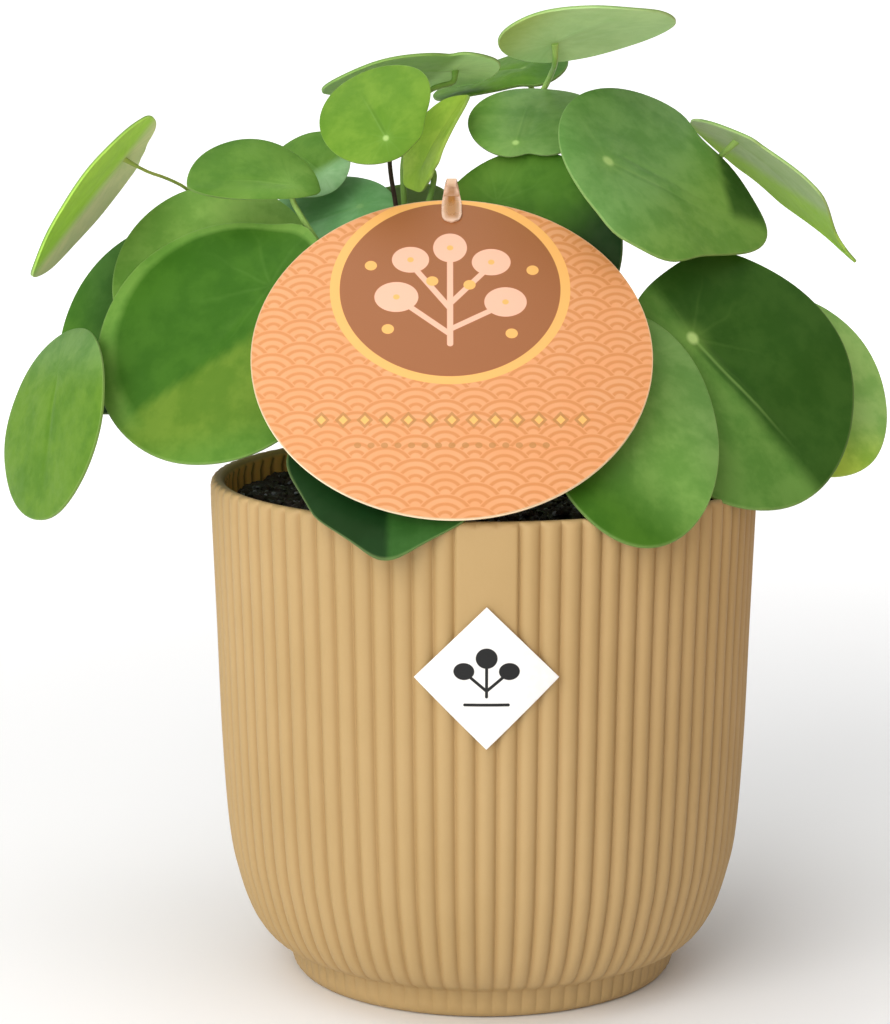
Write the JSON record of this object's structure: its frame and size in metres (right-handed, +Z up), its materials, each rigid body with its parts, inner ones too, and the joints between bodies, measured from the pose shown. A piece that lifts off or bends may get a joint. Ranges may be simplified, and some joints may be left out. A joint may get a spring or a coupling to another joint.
{
  "type": "potted chinese money plant",
  "caption": "Round-leaved money plant in a ribbed pot, with dark soil, a round tag card on a stake and a small square label.",
  "frame": {"origin": "middle of the pot's flat underside", "axes": "+Z up through the pot's axis, -Y towards the side that the card and the label face, +X to that viewer's right"},
  "size_m": [0.2297, 0.1731, 0.2481],
  "materials": {
    "pot": "satin, warm tan",
    "soil": "matte, crumbly, nearly black",
    "stem": "rough, scarred bark",
    "leaf": "waxy satin, mid green",
    "young_leaf": "waxy satin, lime green",
    "card": "printed, semi-matte, peach",
    "stake": "amber, slightly clear",
    "label": "white film"
  },
  "bodies": {
    "root": {"pot": "pot", "soil": "soil", "main_stem": "stem", "leaf_far_left_upper": "leaf", "leaf_far_left_lower": "leaf", "leaf_front_left": "leaf", "leaf_left_second": "leaf", "leaf_left_dark": "leaf", "leaf_left_round": "leaf", "leaf_left_small": "leaf", "leaf_beside_card": "leaf", "leaf_lime": "young_leaf", "leaf_top_left": "leaf", "leaf_young_folded": "young_leaf", "leaf_top_middle": "leaf", "leaf_upper_middle": "leaf", "leaf_top_right": "leaf", "leaf_upper_right": "leaf", "leaf_far_right_upper": "leaf", "leaf_behind_card": "leaf", "leaf_big_right": "leaf", "leaf_front_right": "leaf", "leaf_right_bright": "leaf", "leaf_over_rim": "leaf", "leaf_back_low_right": "leaf", "leaf_back_low_middle_right": "leaf", "leaf_back_low_middle": "leaf", "leaf_back_low_left": "leaf", "leaf_back_far_left": "leaf", "leaf_back_high_right": "leaf", "leaf_back_high_left": "leaf", "tag_card": "card", "tag_stake": "stake", "label": "label"}
  },
  "joints": []
}
